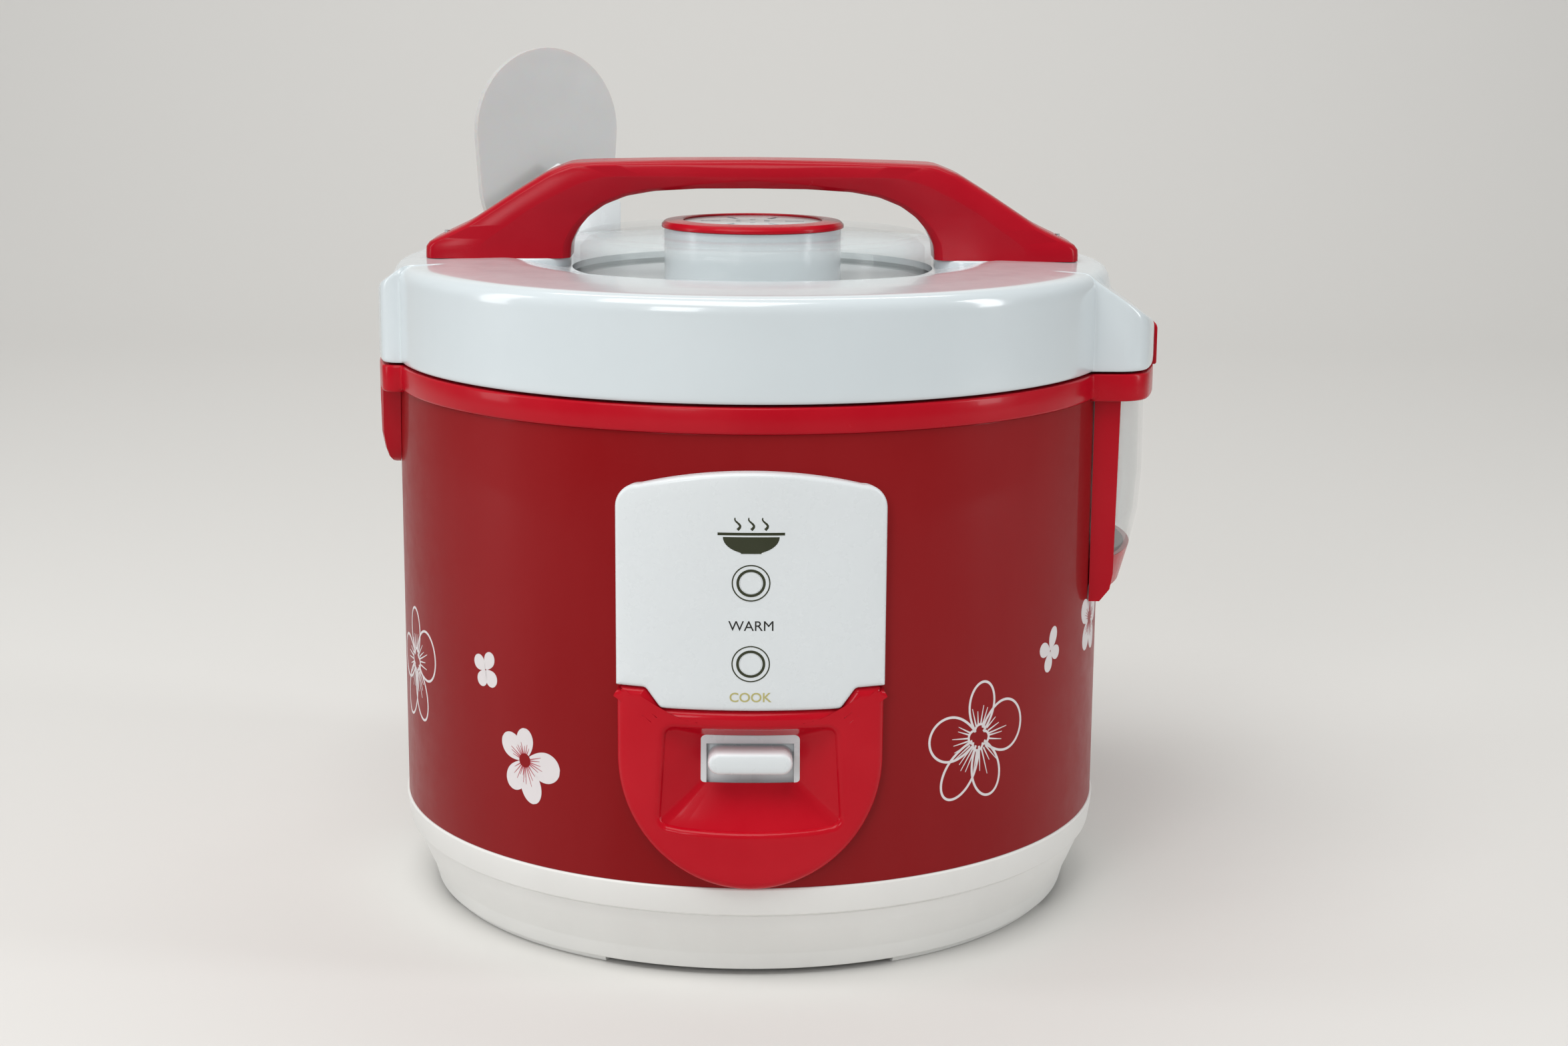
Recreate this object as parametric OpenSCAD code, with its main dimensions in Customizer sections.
// Jar rice cooker with a side-hinged lid, a carrying handle, a dew collector and a spoon holder.
// Millimetres, +Z up, front towards -Y, feet on z = 0. All modules draw round the pot's axis.

/* [Body] */
// Outer radius of the painted steel shell
shell_r = 130; // [128:0.5:132]
// Visible height of the shell
shell_h = 154; // [148:1:160]
// Height of the shell's lower edge above the table
base_top = 35.2; // [34:0.2:37]
// Height of the red ring between the shell and the lid
ring_h = 8.8; // [8:0.2:10]

/* [Lid] */
// Height of the lid from its lower edge to its top
lid_h = 35.5; // [34:0.5:37]
// Outer radius of the clear dome
dome_r = 66; // [60:1:68]
// Radius of the steam vent's red cap
cap_r = 33.6; // [30:0.2:34]
// Height of the handle's top above the table
handle_top = 270; // [266:1:276]

/* [Side lugs] */
// Reach of the hinge lug from the axis
hinge_reach = 147.2; // [146:0.2:148]
// Half width of the hinge lug
hinge_half = 51; // [48:1:54]
// Reach of the latch lug from the axis
latch_reach = 137; // [136:0.2:138]
// Half width of the latch lug
latch_half = 38; // [34:1:40]

/* [Control panel] */
// Half width of the control panel
panel_half = 44.2; // [42:0.2:46]
// Height of the panel's crown above the table
panel_top = 177.4; // [174:0.2:180]
// Height of the warm lamp and of the cook lamp
lamp_z = [141.1, 114];

/* [Hidden] */
$fn = 96;

red = "#b0001c";
shell_red = "#86000f";
white = "#e9eef0";
base_white = "#e0dfda";
steel = "#c4c6c8";
dark = "#2b2b2d";
clear = [0.8, 0.88, 0.9, 0.35];

eps = 0.02;                     // overlap that keeps cuts and unions clean
fit = 0.08;                     // radial running clearance of a pin in its hole
wall = 2.4;                     // plastic wall

// heights
ring_z = base_top + shell_h;    // lower edge of the ring's band
deck_z = ring_z + ring_h;       // top of the ring
lid_z = deck_z + 1;             // lower edge of the lid, after the parting gap
lid_top = lid_z + lid_h;
ring_r = shell_r + 1;
plate_z = 65;                   // top of the heating plate, where the pot stands
plate_t = 12;
chamber_z = 50;                 // underside of the heat chamber
chamber_r = 115.3;
rim_z = deck_z - 4.1;           // underside of the pot's rim
post_r = 108;                   // pitch radius of the base's posts
post_angles = [30, 150, 210, 330];

// hinge axis, parallel to Y
hinge_x = 140;
hinge_z = lid_z + 7;
knuckle_half = 20;              // half width of the ring's knuckle
knuckle_r = 9.6;
hinge_pin_r = 2.5;

// latch, in the lid's lug
button_half = 12.7;
button_z = [lid_z + 9, lid_z + 21];
button_back = -133.7;           // rear of the button's flange
hook_x = -131.1;
hook_z = lid_z + 4;
hook_pin_r = 1.5;
rib_x = -126.5;                 // the rib that the button's springs push against

// switch gear under the chamber
lever_y = -85;                  // lever pivot
lever_z = 28;
lever_tilt = 3.8;               // the front end stands this much up at rest
lever_front = 36;
lever_back = 85;
stem_y = -120.75;

// mains inlet: centre of each blade, across and up
inlet_blades = [[-7, 18], [7, 18], [0, 22]];

// control panel
panel_r = shell_r + 4.6;
panel_low = 80;                 // centre of the panel's round lower end
split_z = 104.6;                // joint between the white and the red plate
window_z = [70.6, 87.3];
window_half = 16.8;
recess_z = [57, 91.2];
recess_half = 27;
funnel_y = -125.5;
lens_r = 3.6;

// handle
pad_z = lid_top - 0.3;          // top of the pads under the handle's feet
handle_screw_x = [-112, -96, 96, 112];

// spoon and its holder, turned round the axis to the back left
holder_angle = 126.4;           // direction from the axis, from +X
holder_in = 133.4;              // inner face of the holder's back plate
holder_half = 30;
pocket_in = 139.6;
pocket_depth = 6.8;
pocket_half = 12;
pocket_z = [126, 213];
spoon_top = 307.7;
spoon_low = 129;
blade_half = 33.5;

// ---- helpers ----
module ring_solid(r_out, r_in, z0, z1) {
    translate([0, 0, z0]) difference() {
        cylinder(r = r_out, h = z1 - z0);
        translate([0, 0, -1]) cylinder(r = r_in, h = z1 - z0 + 2);
    }
}

module disc(r, z0, z1) { translate([0, 0, z0]) cylinder(r = r, h = z1 - z0); }

module box(x, y, z) {
    translate([x[0], y[0], z[0]]) cube([x[1] - x[0], y[1] - y[0], z[1] - z[0]]);
}

// a drawing in X and Z, made solid from y0 to y1
module along_y(y0, y1) { translate([0, y1, 0]) rotate([90, 0, 0]) linear_extrude(y1 - y0) children(); }

module rod_y(x, z, r, y0, y1) { translate([x, y1, z]) rotate([90, 0, 0]) cylinder(r = r, h = y1 - y0); }

module rod_x(y, z, r, x0, x1) { translate([x0, y, z]) rotate([0, 90, 0]) cylinder(r = r, h = x1 - x0); }

function arc(c, r, a0, a1, n) = [for (i = [0:n]) let (a = a0 + (a1 - a0) * i / n) [c[0] + r * cos(a), c[1] + r * sin(a)]];

// outline of a lug round the axis, pointing to +X
module lug_plan(reach, half, corner) {
    mid_r = reach - corner;
    mid_y = half - corner;
    mid_x = sqrt(mid_r * mid_r - mid_y * mid_y);
    turn = atan2(mid_y, mid_x);
    intersection() {
        circle(r = reach, $fn = 240);
        polygon([[0, 0], 200 * [cos(turn), -sin(turn)], [220, 0], 200 * [cos(turn), sin(turn)]]);
    }
    for (s = [-1, 1]) translate([mid_x, s * mid_y]) circle(r = corner);
    translate([70, -half]) square([mid_x - 70, 2 * half]);
}

// side view of the lid's hinge lug: a slope that rounds down to the outer face
module hinge_lug_side(inset) {
    slope = 36;
    round_r = 10;
    centre = [hinge_reach - round_r, lid_z + 8.5];
    polygon(concat(
        [[90, lid_z - 1 - inset], [hinge_reach - inset, lid_z - 1 - inset]],
        arc(centre, round_r - inset, 0, 90 - slope, 8),
        [[117.5 - inset, lid_top - 1.4 - 1.15 * inset], [90, lid_top - 1.4 - 1.15 * inset]]
    ));
}

module latch_lug_side(inset) {
    polygon([
        [-90, lid_z - 1 - inset], [-(latch_reach - inset), lid_z - 1 - inset],
        [-(latch_reach - inset), lid_z + 24.6 - 0.35 * inset], [-(latch_reach - 1.6 - inset), lid_z + 26.2 - 0.9 * inset],
        [-(latch_reach - 13 - inset), lid_top - 1.1 - 1.1 * inset], [-90, lid_top - 1.1 - 1.1 * inset]
    ]);
}

module screw(head_r, shank_r, length) {
    difference() {
        union() {
            translate([0, 0, -1.8]) cylinder(r = head_r, h = 1.8, $fn = 32);
            cylinder(r = shank_r, h = length, $fn = 24);
        }
        for (a = [0, 90]) rotate(a) translate([-2, -0.4, -2.8]) cube([4, 0.8, 2]);
    }
}

// coil of round wire along +Z, swept with eight sides
module coil(radius, wire, turns, height) {
    steps = 14 * turns;
    sides = 8;
    function ring_point(i, k) = let (t = 360 * i / 14, q = 360 * k / sides, r = radius + wire * cos(q))
        [r * cos(t), r * sin(t), wire + (height - 2 * wire) * i / steps + wire * sin(q)];
    points = [for (i = [0:steps]) for (k = [0:sides - 1]) ring_point(i, k)];
    skin = [for (i = [0:steps - 1]) for (k = [0:sides - 1]) let (n = (k + 1) % sides)
        [i * sides + k, i * sides + n, (i + 1) * sides + n, (i + 1) * sides + k]];
    ends = [[for (k = [sides - 1:-1:0]) k], [for (k = [0:sides - 1]) steps * sides + k]];
    polyhedron(points = points, faces = [for (f = concat(skin, ends)) [for (k = [len(f) - 1:-1:0]) f[k]]]);
}

// ---- base and body ----
module base_outline() {
    polygon([
        [118.6, 2.2], [119.6, 3], [121.3, 8.6], [123.3, 13], [126, 19.5], [127.4, base_top - 10.9],
        [127.2, base_top - 10.5], [129.5, base_top - 9.8], [130.3, base_top - 5], [130.6, base_top],
        [127.6, base_top], [126.6, base_top - 8], [124.6, base_top - 12], [120.8, 13], [118.6, 8],
        [102, 8], [102, 6], [115.6, 6], [115.6, 2.2]
    ]);
}

module foot() {
    rotate(-20) rotate_extrude(angle = 40) polygon([[113, 7], [113.4, 0], [117.6, 0], [118.3, 1], [118.8, 7]]);
}

module base() {
    color(base_white) difference() {
        union() {
            rotate_extrude($fn = 200) base_outline();
            for (a = [45:90:315]) rotate(a) foot();
            box([-19.5, 19.5], [119, 128.6], [7.5, base_top - 3]);      // boss round the mains inlet
            for (a = post_angles) rotate(a) translate([post_r, 0, 7]) cylinder(r = 4.5, h = chamber_z - 7, $fn = 40);
        }
        for (a = post_angles) rotate(a) translate([post_r, 0, 0]) {
            translate([0, 0, 5]) cylinder(r = 1.5, h = 14, $fn = 24);
            translate([0, 0, chamber_z - 12]) cylinder(r = 1.5, h = 13, $fn = 24);
        }
        box([-14.2, 14.2], [100, 140], [9.8, 30.2]);
        box([-17.3, 17.3], [100, 122.95], [9.7, 33.2]);
    }
}

module bottom_cover() {
    vent_rings = [[40, 12], [62, 18], [84, 24]];
    color(steel) difference() {
        disc(111.5, 4.6, 5.9);
        for (a = post_angles) rotate(a) translate([post_r, 0, 0]) cylinder(r = 1.8, h = 12, $fn = 24);
        for (v = vent_rings) for (i = [0:v[1] - 1]) rotate(i * 360 / v[1])
            translate([v[0], -1.6, 3]) cube([9, 3.2, 5]);
    }
}

module bottom_screws() {
    color(steel) for (a = post_angles) rotate(a) translate([post_r, 0, 4.6]) screw(3.2, 1.4, 11);
}

module outer_shell() {
    color(shell_red) difference() {
        ring_solid(shell_r, shell_r - 0.8, base_top, ring_z, $fn = 240);
        box([-33, 33], [-140, -100], [53.5, 96.5]);
        box([-9, 9], [-140, -100], [107, 149]);
    }
}

// the ring's knuckle, seen from the front
module knuckle_side() {
    translate([hinge_x, hinge_z]) {
        intersection() {
            circle(r = knuckle_r);
            translate([-9.4, -9]) square([17.3, 18.4]);
        }
        translate([-9.4, deck_z - 0.6 - hinge_z]) square([17.3, hinge_z - deck_z + 0.6]);
    }
}

module top_ring() {
    apron_low = lid_z - 39.2;
    color(red) difference() {
        union() {
            rotate_extrude($fn = 240) polygon([
                [ring_r - 0.4, ring_z], [ring_r, ring_z + 0.5], [ring_r, deck_z - 0.5], [ring_r - 0.5, deck_z],
                [119.5, deck_z], [119.5, ring_z + 4.3], [126.5, ring_z + 4.3], [126.5, ring_z]
            ]);
            difference() {
                translate([0, 0, ring_z - 0.8]) linear_extrude(deck_z - ring_z + 0.8) {
                    lug_plan(hinge_reach, hinge_half, 12);
                    rotate(180) lug_plan(latch_reach, latch_half, 6);
                }
                disc(ring_r - 0.2, 100, 220);
            }
            along_y(-knuckle_half, knuckle_half) knuckle_side();
            // apron under the latch lug
            difference() {
                intersection() {
                    along_y(-30, 30) polygon([
                        [-120, ring_z], [-latch_reach + 0.4, ring_z], [-latch_reach + 1.2, apron_low + 10],
                        [-latch_reach + 3, apron_low], [-120, apron_low]
                    ]);
                    translate([0, 0, apron_low - 1]) linear_extrude(60) rotate(180) lug_plan(latch_reach, 30, 6);
                }
                disc(shell_r + 0.15, 100, 220, $fn = 240);
            }
            spoon_ear();
        }
        // pocket for the latch hook, under a lip
        box([-135.2, -128], [-7.5, 7.5], [ring_z + 0.7, deck_z - 3]);
        box([-135.2, hook_x + 3.5], [-7.5, 7.5], [ring_z + 0.7, deck_z + 2]);
        // hinge pin bore, and the spring's pocket
        rod_y(hinge_x, hinge_z, hinge_pin_r, -30, 30);
        rod_y(hinge_x, hinge_z, 6, -9, 9);
        box([hinge_x - 12, hinge_x], [-9, 9], [hinge_z - 6, hinge_z + 6]);
    }
}

// socket for the spoon holder's tongue
module spoon_ear() {
    rotate(holder_angle) difference() {
        box([129.5, 137.4], [-14, 14], [ring_z - 3, deck_z - 0.6]);
        box([holder_in - 0.3, holder_in + 2.3], [-10.3, 10.3], [ring_z - 10, deck_z + 10]);
        disc(ring_r - 0.5, 100, 240);
    }
}

module heat_chamber() {
    color(steel) difference() {
        union() {
            disc(chamber_r, chamber_z, ring_z + 4.3, $fn = 200);
            disc(126, ring_z + 3.5, ring_z + 4.3, $fn = 200);
        }
        disc(chamber_r - 0.8, chamber_z + 0.8, 300, $fn = 200);
        disc(24, 0, 100);
        for (a = post_angles) rotate(a) translate([post_r, 0, 0]) cylinder(r = 1.8, h = 100, $fn = 24);
    }
}

module chamber_screws() {
    color(steel) for (a = post_angles) rotate(a) translate([post_r, 0, chamber_z + 0.8]) rotate([180, 0, 0]) screw(3.2, 1.4, 9);
}

module heating_plate() {
    color("#b9bbbd") difference() {
        rotate_extrude($fn = 160) polygon([
            [17, plate_z - plate_t], [96, plate_z - plate_t], [100, plate_z - 6], [100, plate_z - 1],
            [99, plate_z], [19, plate_z], [17, plate_z - 1]
        ]);
        // groove that shows the cast-in heating tube
        rotate_extrude($fn = 160) polygon([
            [58, plate_z - plate_t - 1], [60, plate_z - plate_t + 1.5], [66, plate_z - plate_t + 1.5],
            [68, plate_z - plate_t - 1]
        ]);
        for (a = [30:120:270]) rotate(a) translate([80, 0, 40]) cylinder(r = 2, h = 19, $fn = 24);
    }
}

module plate_legs() {
    color(steel) for (a = [30:120:270]) rotate(a) translate([80, 0, 0]) {
        disc(5, chamber_z + 0.8, plate_z - plate_t, $fn = 32);
        disc(1.9, plate_z - plate_t - eps, plate_z - plate_t + 5, $fn = 24);
    }
}

module inner_pot() {
    pot_r = 110;
    thick = 1.6;
    corner = 14;
    low = plate_z;
    color("#8f9194") rotate_extrude($fn = 200) polygon(concat(
        [[0, low]], arc([pot_r - corner, low + corner], corner, -90, 0, 10),
        [[pot_r, rim_z], [117.4, rim_z], [117.9, rim_z + 0.5], [117.9, rim_z + 1], [117.4, rim_z + 1.5],
         [pot_r, rim_z + 1.5], [pot_r - thick, rim_z - 0.4]],
        arc([pot_r - corner, low + corner], corner - thick, 0, -90, 10),
        [[0, low + thick]]
    ));
}

// ---- thermostat and switch ----
module thermostat_cup() {
    color(steel) difference() {
        union() {
            disc(16.7, 40, 58);
            disc(23, 51.4, plate_z - plate_t);
        }
        disc(15.8, 41.2, 60);
        disc(2.6, 30, 50);
    }
}

module sensor_cap() {
    color("#d0d2d4") difference() {
        disc(15.6, 53, plate_z);
        disc(14.4, 52, 61.4);
    }
}

module sensor_spring() { color(steel) translate([0, 0, 41.2]) coil(12, 0.55, 5, 20.2); }

module magnet_rod() {
    color(dark) {
        disc(9, 45.8, 49.8);
        disc(2.2, 22, 45.8 + eps, $fn = 32);
        disc(5, 26.9, 28.5, $fn = 32);
    }
}

// the lever's own frame has its pivot at the origin and its front end towards -Y
module switch_lever() {
    color(steel) translate([0, lever_y, lever_z]) rotate([-lever_tilt, 0, 0]) difference() {
        union() {
            box([-6.5, 6.5], [-lever_front, lever_back - 2], [2.6, 4.2]);
            for (s = [-1, 1]) box([min(5.1 * s, 6.5 * s), max(5.1 * s, 6.5 * s)], [-12, 12], [-3.6, 2.7]);
        }
        rod_x(0, 0, 1.5 + fit, -20, 20);
        // fork round the magnet rod
        box([-2.8, 2.8], [lever_back - 12, lever_back + 2], [0, 6]);
    }
}

module lever_pin() { color(steel) rod_x(lever_y, lever_z, 1.5, -12, 12); }

module lever_bracket() {
    color(steel) difference() {
        union() {
            box([-9.4, 9.4], [lever_y - 28, lever_y + 11], [chamber_z - 1.2, chamber_z]);
            for (s = [-1, 1]) box([min(8.2 * s, 9.4 * s), max(8.2 * s, 9.4 * s)], [lever_y - 6, lever_y + 6], [lever_z - 5, chamber_z]);
        }
        rod_x(lever_y, lever_z, 1.5, -20, 20);
    }
}

module lever_spring() {
    foot_z = 8;                 // stands on the base's inner ledge
    color(steel) translate([0, lever_y - 26, foot_z]) coil(4, 0.45, 8, lever_z - foot_z + 4.1);
}

module microswitch() {
    color(dark) {
        box([-3.2, 3.2], [lever_y - 27, lever_y - 13], [35.4, chamber_z - 1.2]);
        box([-1.5, 1.5], [lever_y - 22, lever_y - 19], [34, 35.4 + eps]);
    }
}

module cook_button() {
    half = 14;
    r = 3.7;
    z = 79.5;
    color(white) {
        along_y(-133.9, -123.9 + 1) {
            translate([-half + r, z - r]) square([2 * (half - r), 2 * r]);
            for (s = [-1, 1]) translate([s * (half - r), z]) circle(r = r);
        }
        box([-4, 4], [-123, stem_y], [z - 3, z + 3]);
        box([-4, 4], [stem_y - 1.2, stem_y + 1.2], [34.9, z + 3]);
        // skirt that closes the window behind the switch plate at both ends of the travel
        box([-16.4, 16.4], [-122.8, -121.6], [68, z + 10]);
    }
}

module switch_plate() {
    color(white) difference() {
        box([-25, 25], [-125, -123.4 - 0.1], [62, 96]);
        box([-14.6, 14.6], [-126, -120], [70.2, 84.2]);
        box([-4.6, 4.6], [-126, -120], [65, 84.2]);
    }
}

// ---- control panel ----
module panel_outline() {
    crown = 190;
    corner = 8;
    intersection() {
        union() {
            translate([0, panel_low]) circle(r = panel_half - 0.4, $fn = 160);
            translate([-panel_half, panel_low]) square([2 * panel_half, panel_top - 10 - panel_low]);
            for (s = [-1, 1]) translate([s * (panel_half - corner), panel_top - 12]) circle(r = corner);
            translate([-panel_half + corner, panel_top - 14]) square([2 * (panel_half - corner), 16]);
        }
        translate([0, panel_top - crown]) circle(r = crown, $fn = 360);
    }
}

// the white plate's part of the outline, with its tab between the red shoulders
module cover_part(gap) {
    polygon([
        [-60, split_z + gap], [-34, split_z + gap], [-29.4, split_z - 6.8 + gap], [29.4, split_z - 6.8 + gap],
        [34, split_z + gap], [60, split_z + gap], [60, 200], [-60, 200]
    ]);
}

module panel_skin() {
    difference() {
        intersection() {
            disc(panel_r, 20, 200, $fn = 240);
            along_y(-150, -100) children();
        }
        disc(shell_r + 0.05, 10, 210, $fn = 240);
    }
}

module frustum(inset, y0, y1) {
    hull() {
        box([-recess_half + inset, recess_half - inset], [y0, y0 + 0.1], [recess_z[0] + inset, recess_z[1] - inset]);
        box([-window_half, window_half], [y1 - 0.1, y1], [window_z[0], window_z[1]]);
    }
}

module panel_frame() {
    color(red) difference() {
        union() {
            panel_skin() difference() { panel_outline(); cover_part(-0.05); }
            intersection() {
                hull() {
                    box([-recess_half - 2, recess_half + 2], [-133.2, -133.1], [recess_z[0] - 2, recess_z[1] + 2]);
                    box([-window_half - 2, window_half + 2], [funnel_y, funnel_y + 0.1], [window_z[0] - 2, window_z[1] + 2]);
                }
                disc(panel_r - 0.6, 20, 200);
            }
        }
        frustum(0, -136, funnel_y + 0.4);
        box([-window_half, window_half], [funnel_y - 2, funnel_y + 4], window_z);
    }
}

module panel_cover() {
    color(white) difference() {
        panel_skin() intersection() { panel_outline(); cover_part(0.05); }
        for (z = lamp_z) rod_y(0, z, lens_r, -150, -100);
    }
}

module lens(z) {
    color("#f4f4ee") {
        rod_y(0, z, lens_r - 0.05, -panel_r + 0.1, -127.4);
        rod_y(0, z, 5, -129, -127.4);
    }
}

module neon_lamps() { color("#e8a060") for (z = lamp_z) rod_y(0, z, 2.6, -126.9, -117.5); }

// ---- mains inlet ----
module power_inlet() {
    color(dark) difference() {
        union() {
            box([-14, 14], [110.6, 129.6], [10, 30]);
            box([-17, 17], [121, 122.8], [10, 32.8]);
        }
        box([-12.2, 12.2], [113.4, 131], [11.7, 28.3]);
        for (p = inlet_blades) box([p[0] - 1, p[0] + 1], [100, 125], [p[1] - 2, p[1] + 2]);
    }
}

module inlet_pins() {
    color(steel) for (p = inlet_blades) box([p[0] - 1, p[0] + 1], [104, 125], [p[1] - 2, p[1] + 2]);
}

module terminal_block() {
    color("#d8d2c0") difference() {
        box([30, 60], [60, 72], [chamber_z - 13, chamber_z]);
        for (x = [35, 45, 55]) translate([x, 66, chamber_z - 14]) cylinder(r = 2.2, h = 8, $fn = 24);
    }
}

module warm_thermostat() {
    color(steel) translate([-58, 30, 0]) {
        disc(8, chamber_z - 6, chamber_z - 1, $fn = 48);
        disc(11.5, chamber_z - 1 - eps, chamber_z, $fn = 48);
        for (x = [-4, 4]) box([x - 0.4, x + 0.4], [-2.5, 2.5], [chamber_z - 14, chamber_z - 6 + eps]);
    }
}

module thermal_fuse() {
    color("#d8d2c0") {
        rod_y(58, chamber_z - 4, 2, 8, 26);
        box([54, 62], [14, 20], [chamber_z - 1.2, chamber_z]);
        for (s = [-1, 1]) box([min(58 + 2 * s, 58 + 3.2 * s), max(58 + 2 * s, 58 + 3.2 * s)], [15, 19], [chamber_z - 5, chamber_z - 1]);
    }
}

// ---- hinge ----
module hinge_pin() {
    color(steel) difference() {
        rod_y(hinge_x, hinge_z, hinge_pin_r, -34, 34);
        for (y = [-35, 33]) box([hinge_x - 3, hinge_x + 3], [y, y + 2], [hinge_z - 0.3, hinge_z + 0.3]);
    }
}

module hinge_spring() {
    color(steel) translate([hinge_x, -7, hinge_z]) rotate([-90, 0, 0]) coil(4.3, 0.6, 8, 14);
}

// ---- dew collector ----
module cup_form(grow) {
    translate([65.2, 0, 0]) rotate_extrude($fn = 200) polygon([
        [0, 114.5], [70 + grow, 114.5], [73.4 + grow, 117], [77 + grow, 130], [79.6 + grow, 143],
        [80.6 + grow, 158], [80.4 + grow, ring_z - 2], [0, ring_z - 2]
    ]);
}

module dew_frame() {
    color(red) difference() {
        union() {
            // side walls
            for (s = [-1, 1]) along_y(min(43.6 * s, 46 * s), max(43.6 * s, 46 * s)) polygon([
                [110, ring_z - 1.6], [131.4, ring_z - 1.6], [130.6, 125], [129.6, 119], [126, 114.5], [110, 114.5]
            ]);
            // tray under the cup
            intersection() {
                cup_form(0);
                box([100, 160], [-43.7, 43.7], [114.5, 129.8]);
            }
        }
        disc(shell_r + 0.5, 100, 200, $fn = 240);
        difference() {
            intersection() {
                cup_form(-2);
                box([100, 160], [-41.5, 41.5], [116.5, 131]);
            }
            disc(shell_r + 2.5, 100, 200, $fn = 240);
        }
    }
}

module dew_cup() {
    color(clear) difference() {
        intersection() {
            cup_form(0);
            box([100, 160], [-43.3, 43.3], [130, ring_z - 2]);
        }
        disc(shell_r + 0.6, 100, 240, $fn = 240);
        difference() {
            intersection() {
                cup_form(-1.6);
                box([100, 160], [-41.7, 41.7], [131.8, 240]);
            }
            disc(shell_r + 2.2, 100, 240, $fn = 240);
        }
    }
}

// ---- spoon and holder, drawn along +X and turned to the back left ----
module spoon_holder() {
    plate_z0 = deck_z - 0.4;
    color(white) rotate(holder_angle) {
        // back plate with its pointed top, and the tongue that goes into the ring's ear
        translate([holder_in, 0, 0]) rotate([90, 0, 90]) linear_extrude(2) polygon([
            [-holder_half, plate_z0], [-10, plate_z0], [-10, ring_z - 9], [10, ring_z - 9], [10, plate_z0],
            [holder_half, plate_z0], [holder_half, 244.6], [0, 261.5], [-holder_half, 244.6]
        ]);
        // pocket for the spoon's handle
        difference() {
            box([pocket_in - 1.6, pocket_in + pocket_depth + 1.6], [-pocket_half - 1.6, pocket_half + 1.6], pocket_z);
            box([pocket_in, pocket_in + pocket_depth], [-pocket_half, pocket_half], [pocket_z[0] + 1.6, 240]);
        }
        // web from the plate to the pocket
        box([holder_in + 1, pocket_in - 1], [-pocket_half - 1.6, pocket_half + 1.6], [plate_z0, plate_z0 + 3]);
        for (s = [-1, 1]) box([holder_in + 1, pocket_in - 1], [min(12 * s, 13.6 * s), max(12 * s, 13.6 * s)], [plate_z0, 213]);
    }
}

module spoon_outline() {
    blade_mid = spoon_top - blade_half;
    hull() {
        translate([0, blade_mid]) circle(r = blade_half, $fn = 64);
        translate([0, blade_mid - 20]) circle(r = blade_half - 1.5, $fn = 64);
        translate([0, blade_mid - 44]) circle(r = 11, $fn = 32);
    }
    hull() {
        translate([0, blade_mid - 44]) circle(r = 10.4, $fn = 32);
        translate([0, spoon_low + 8]) circle(r = 8, $fn = 32);
    }
}

module spoon() {
    mid = pocket_in + pocket_depth / 2;
    color("#e4e6e6") rotate(holder_angle) translate([mid - 1.3, 0, 0]) rotate([90, 0, 90]) linear_extrude(2.6) spoon_outline();
}

// ---- lid ----
module lid_skin_outline() {
    shoulder = 6;
    top_side = arc([ring_r - shoulder, lid_top - 1.4 - shoulder], shoulder, 0, 80, 8);
    under_side = arc([ring_r - shoulder, lid_top - 1.4 - shoulder], shoulder - wall, 80, 0, 6);
    polygon(concat(
        [[ring_r - 0.5, lid_z], [ring_r, lid_z + 0.5]], top_side,
        [[110, lid_top - 0.4], [90, lid_top], [88, lid_top - 0.1], [70, lid_top - 3.6], [dome_r + 0.4, lid_top - 4],
         [dome_r + 0.4, lid_top - 6.4], [73, lid_top - 6.4], [88, lid_top - wall - 0.3], [110, lid_top - 0.4 - wall]],
        under_side, [[ring_r - wall, lid_z]]
    ));
}

module hinge_lug(inset) {
    intersection() {
        translate([0, 0, lid_z - (inset > 0 ? 1 : 0)]) linear_extrude(60) lug_plan(hinge_reach - inset, hinge_half - inset, 12 - inset);
        along_y(-60, 60) hinge_lug_side(inset);
    }
}

module latch_lug(inset) {
    intersection() {
        translate([0, 0, lid_z - (inset > 0 ? 1 : 0)]) linear_extrude(60) rotate(180) lug_plan(latch_reach - inset, latch_half - inset, 6 - inset);
        along_y(-60, 60) latch_lug_side(inset);
    }
}

// room under the lid's top, as a solid of revolution
module below_lid_top(raise) {
    rotate_extrude($fn = 240) polygon([
        [0, lid_top - 8], [0, lid_top - 4 + raise], [dome_r + 0.4, lid_top - 4 + raise], [70, lid_top - 3.6 + raise],
        [88, lid_top - 0.1 + raise], [90, lid_top + raise], [110, lid_top - 0.4 + raise], [124, lid_top - 1.2 + raise],
        [124, lid_top - 8]
    ]);
}

// the lid's skin with its two hollow lugs and the pads that carry the handle
module lid_body() {
    rotate_extrude($fn = 240) lid_skin_outline();
    difference() {
        union() { hinge_lug(0); latch_lug(0); }
        hinge_lug(wall);
        latch_lug(wall);
        disc(ring_r - wall + 0.3, lid_z - 2, lid_top - 10);
        disc(ring_r - 8, lid_z - 2, lid_top + 5);
    }
    // cheeks that carry the hinge pin
    intersection() {
        hinge_lug(0.5);
        for (s = [-1, 1]) box([129, 150], [min(20.6 * s, 35 * s), max(20.6 * s, 35 * s)], [lid_z, hinge_z + 9]);
    }
    difference() {
        for (s = [-1, 1]) box([min(72 * s, 91 * s), max(72 * s, 91 * s)], [-15, 15], [lid_top - 5, pad_z]);
        below_lid_top(-eps);
    }
    for (s = [-1, 1]) translate([72 * s, 0, 0]) difference() {
        disc(15, lid_top - 5, pad_z);
        translate([-72 * s, 0, 0]) {
            below_lid_top(-eps);
            disc(dome_r + 1, lid_top - 10, lid_top + 5);
        }
    }
}

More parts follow.
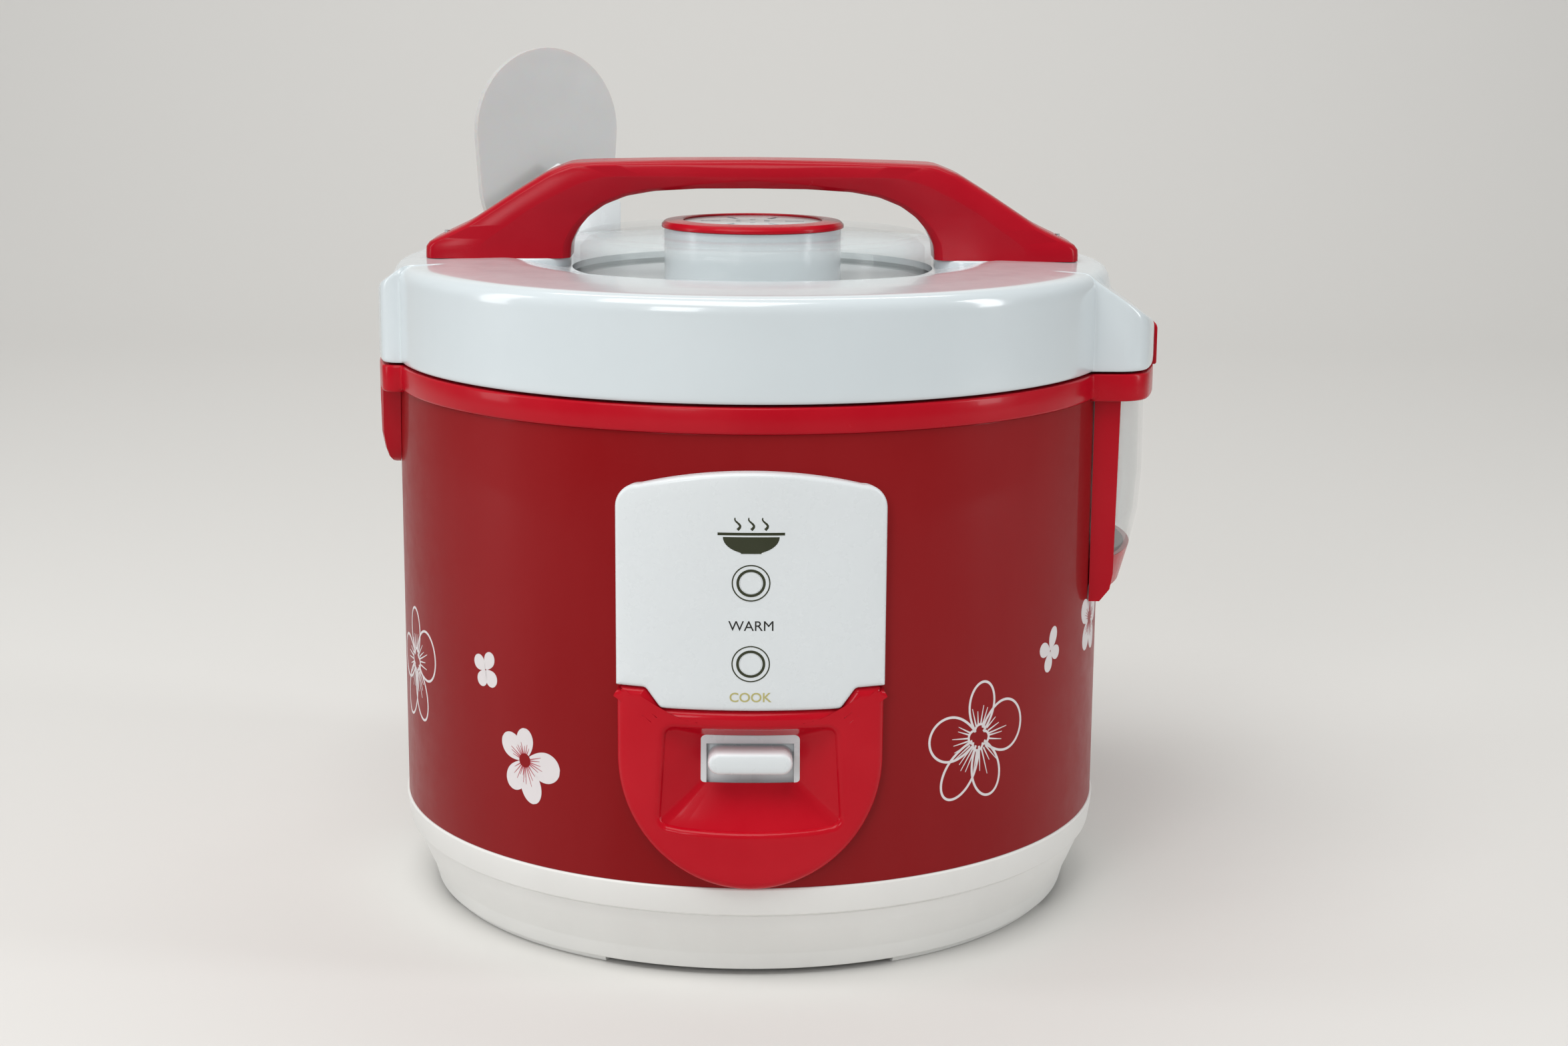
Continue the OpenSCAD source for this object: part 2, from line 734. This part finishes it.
module lid_cover() {
    color(white) difference() {
        union() {
            difference() {
                lid_body();
                // room for the latch, open below
                box([-134.4, -124], [-15.6, 15.6], [lid_z - 2, lid_z + 24.5]);
            }
            // rib behind the button's springs
            intersection() {
                box([rib_x, rib_x + 1.2], [-27, 27], [lid_z + 8, lid_z + 25]);
                disc(ring_r - 1, lid_z, lid_top - 8);
            }
            // ears that carry the hook's pin
            for (s = [-1, 1]) box([-134.9, -128.6], [min(7.6 * s, 9.6 * s), max(7.6 * s, 9.6 * s)], [hook_z - 2.6, hook_z + 2.6]);
        }
        // room for the knuckle, and the outer lower corner that turns over the ring
        box([hinge_x - 10.2, 170], [-knuckle_half - 0.6, knuckle_half + 0.6], [lid_z - 2, hinge_z + 10.4]);
        along_y(-60, 60) difference() {
            translate([hinge_x, lid_z - 2]) square([20, hinge_z - lid_z + 2]);
            translate([hinge_x, hinge_z]) circle(r = 7.3);
        }
        rod_y(hinge_x, hinge_z, hinge_pin_r + fit, -34.5, 34.5);
        // window for the release button
        box([-140, -133.6], [-button_half - 0.3, button_half + 0.3], [button_z[0] - 0.3, button_z[1] + 0.3]);
        rod_y(hook_x, hook_z, hook_pin_r, -12, 12);
        for (x = handle_screw_x) translate([x, 0, 200]) cylinder(r = 1.9, h = 60, $fn = 24);
    }
}

module lid_liner() {
    color("#dfe3e4") difference() {
        rotate_extrude($fn = 200) polygon([
            [9.6, lid_z + 3], [106, lid_z + 3], [106, lid_z - 1], [118, lid_z - 1], [118, lid_z + 1.6],
            [ring_r - wall - 0.2, lid_z + 1.6], [ring_r - wall - 0.2, lid_z + 3.6], [115, lid_z + 3.6],
            [109, lid_z + 5], [9.6, lid_z + 5]
        ]);
        box([-135, -124], [-9, 9], [lid_z - 2, lid_z + 8]);
    }
}

module inner_lid_plate() {
    color("#c9cbcc") difference() {
        rotate_extrude($fn = 200) polygon([
            [3, lid_z - 2.4], [98, lid_z - 2.4], [100, lid_z - 2.9], [108.4, lid_z - 2.9],
            [108.4, lid_z - 2], [100.4, lid_z - 2], [98.2, lid_z - 1.5], [3, lid_z - 1.5]
        ]);
        for (a = [0:45:315]) rotate(a) translate([18, 0, lid_z - 6]) cylinder(r = 2, h = 8, $fn = 20);
    }
}

module lid_gasket() {
    color("#e9e9e6") rotate_extrude($fn = 200) polygon([
        [108.6, lid_z - 3.1], [110, rim_z + 1.8], [116, rim_z + 1.8], [116.6, lid_z - 3], [116.6, lid_z - 1.1],
        [106.4, lid_z - 1.1], [106.4, lid_z - 1.8], [108.6, lid_z - 1.8]
    ]);
}

module plate_grommet() {
    color("#d8d8d4") rotate_extrude($fn = 64) polygon([
        [0, lid_z - 6], [6, lid_z - 6], [7, lid_z - 4], [7, lid_z - 2.6], [2.8, lid_z - 2.6],
        [2.8, lid_z - 1.3], [6, lid_z - 1.3], [5, lid_z + 2.6], [0, lid_z + 2.6]
    ]);
}

module dome_floor() {
    color("#cfd2d3") ring_solid(dome_r + 5, cap_r - 0.9, lid_top - 9.6, lid_top - 8.4, $fn = 160);
}

module lid_dome() {
    top = lid_top + 8.9;
    color(clear) rotate_extrude($fn = 200) polygon(concat(
        [[cap_r - 0.4, top - 2], [dome_r - 4.2, top - 2.2], [dome_r - 2.4, top - 4], [dome_r - 2.4, lid_top - 8.4],
         [dome_r + 5, lid_top - 8.4], [dome_r + 5, lid_top - 6.4], [dome_r, lid_top - 6.4]],
        arc([dome_r - 3.4, top - 3.4], 3.4, 0, 90, 6),
        [[cap_r - 0.4, top]]
    ));
}

module vent_cylinder() {
    cup_low = lid_top - 9.6;
    color(white) {
        ring_solid(cap_r - 1, cap_r - 3, cup_low, lid_top + 10.3, $fn = 120);
        ring_solid(cap_r - 1.5, 8, cup_low, cup_low + 1.8);
        ring_solid(9.4, 7.6, lid_z + 3.6, cup_low + 1);
    }
}

module vent_cap() {
    low = lid_top + 10.5;
    color(red) rotate_extrude($fn = 160) polygon([
        [25.6, low + 0.9], [25.6, low + 2.5], [26.4, low + 2.9], [cap_r - 0.8, low + 2.3], [cap_r, low + 1.5], [cap_r, low],
        [cap_r - 3.2, low], [cap_r - 3.2, low - 7], [cap_r - 5, low - 7], [cap_r - 5, low + 0.9]
    ]);
}

module vent_disc() {
    low = lid_top + 10.5;
    color(white) difference() {
        union() {
            disc(25.4, low + 0.9, low + 2.1, $fn = 120);
            disc(cap_r - 5.2, low, low + 0.9, $fn = 120);
        }
        for (a = [0:60:300]) rotate(a) translate([12, -1, low - 2]) cube([7, 2, 8]);
        for (a = [30:60:330]) rotate(a) translate([6, 0, low - 2]) cylinder(r = 1.1, h = 8, $fn = 20);
    }
}

// ---- handle ----
module handle_outline() {
    foot_z = lid_top - 5;
    half = 119;
    difference() {
        polygon(concat(
            [[-half, foot_z], [-half, lid_top + 5.1], [-104, 246.6], [-86, 258.6], [-75, 265]],
            arc([-62, handle_top - 18.4], 17, 125, 93, 4),
            [[0, handle_top]],
            arc([62, handle_top - 18.4], 17, 87, 55, 4),
            [[75, 265], [86, 258.6], [104, 246.6], [half, lid_top + 5.1], [half, foot_z]]
        ));
        polygon(concat(
            [[-66, foot_z - 1], [-66, pad_z + 1.5]],
            arc([-43, pad_z + 2.3], 22.6, 172, 92, 8),
            [[0, handle_top - 10.6]],
            arc([43, pad_z + 2.3], 22.6, 88, 8, 8),
            [[66, pad_z + 1.5], [66, foot_z - 1]]
        ));
    }
}

module handle_plan() {
    // narrower over the grip than over its feet
    difference() {
        translate([-122, -16]) square([244, 32]);
        for (s = [-1, 1]) translate([0, s * (13 + 520)]) circle(r = 520, $fn = 360);
    }
}

module carry_handle() {
    color(red) difference() {
        intersection() {
            along_y(-20, 20) handle_outline();
            translate([0, 0, 220]) linear_extrude(60) handle_plan();
        }
        // the feet stand on the lid's top and on its pads
        box([-92, 92], [-20, 20], [lid_top - 8, pad_z]);
        below_lid_top(eps);
        disc(dome_r + 0.4, lid_top - 8, lid_top + 12);
        box([-42.2, 42.2], [-9.2, 9.2], [handle_top - 14, handle_top - 7.8]);
        for (x = handle_screw_x) translate([x, 0, lid_top - 2]) cylinder(r = 1.5, h = 12, $fn = 24);
    }
}

module handle_grip() {
    color(red) box([-42, 42], [-9, 9], [handle_top - 10.4, handle_top - 7.8]);
}

module handle_screws() {
    color(steel) for (x = handle_screw_x) translate([x, 0, lid_top - wall - 0.9]) screw(3.2, 1.4, 12);
}

// ---- latch ----
module release_button() {
    color(red) difference() {
        union() {
            box([-138, button_back], [-button_half, button_half], button_z);
            box([button_back - 0.6, button_back], [-15, 15], [button_z[0] + 1, button_z[1] - 1]);
            box([button_back - eps, button_back + 1.2], [-5, 5], [button_z[1] - 3.6, button_z[1] - 1.2]);
        }
        ring_solid(150, latch_reach, 180, 240, $fn = 240);
    }
}

module button_springs() {
    color(steel) for (s = [-1, 1]) translate([button_back, 11 * s, lid_z + 15]) rotate([0, 90, 0])
        coil(1.6, 0.3, 5, rib_x - button_back);
}

module latch_hook() {
    color(white) difference() {
        union() {
            box([hook_x - 0.9, hook_x + 0.9], [-6, 6], [ring_z + 1.4, button_z[1] - 1.2]);
            rod_y(hook_x, hook_z, 2.8, -6, 6);
            along_y(-6, 6) polygon([
                [hook_x, ring_z + 1.4], [hook_x + 1, ring_z + 1.4], [hook_x + 2.6, ring_z + 3.2], [hook_x + 2.6, ring_z + 4.2],
                [hook_x, ring_z + 4.2]
            ]);
        }
        rod_y(hook_x, hook_z, hook_pin_r + fit, -12, 12);
    }
}

module hook_pin() { color(steel) rod_y(hook_x, hook_z, hook_pin_r, -9.6, 9.6); }

base();
bottom_cover();
bottom_screws();
outer_shell();
top_ring();
heat_chamber();
chamber_screws();
heating_plate();
plate_legs();
inner_pot();
thermostat_cup();
sensor_cap();
sensor_spring();
magnet_rod();
switch_lever();
lever_pin();
lever_bracket();
lever_spring();
microswitch();
cook_button();
switch_plate();
panel_frame();
panel_cover();
lens(lamp_z[0]);  // warm_lens
lens(lamp_z[1]);  // cook_lens
neon_lamps();
power_inlet();
inlet_pins();
terminal_block();
warm_thermostat();
thermal_fuse();
hinge_pin();
hinge_spring();
dew_frame();
dew_cup();
spoon_holder();
spoon();
lid_cover();
lid_liner();
inner_lid_plate();
lid_gasket();
plate_grommet();
dome_floor();
lid_dome();
vent_cylinder();
vent_cap();
vent_disc();
carry_handle();
handle_grip();
handle_screws();
release_button();
button_springs();
latch_hook();
hook_pin();
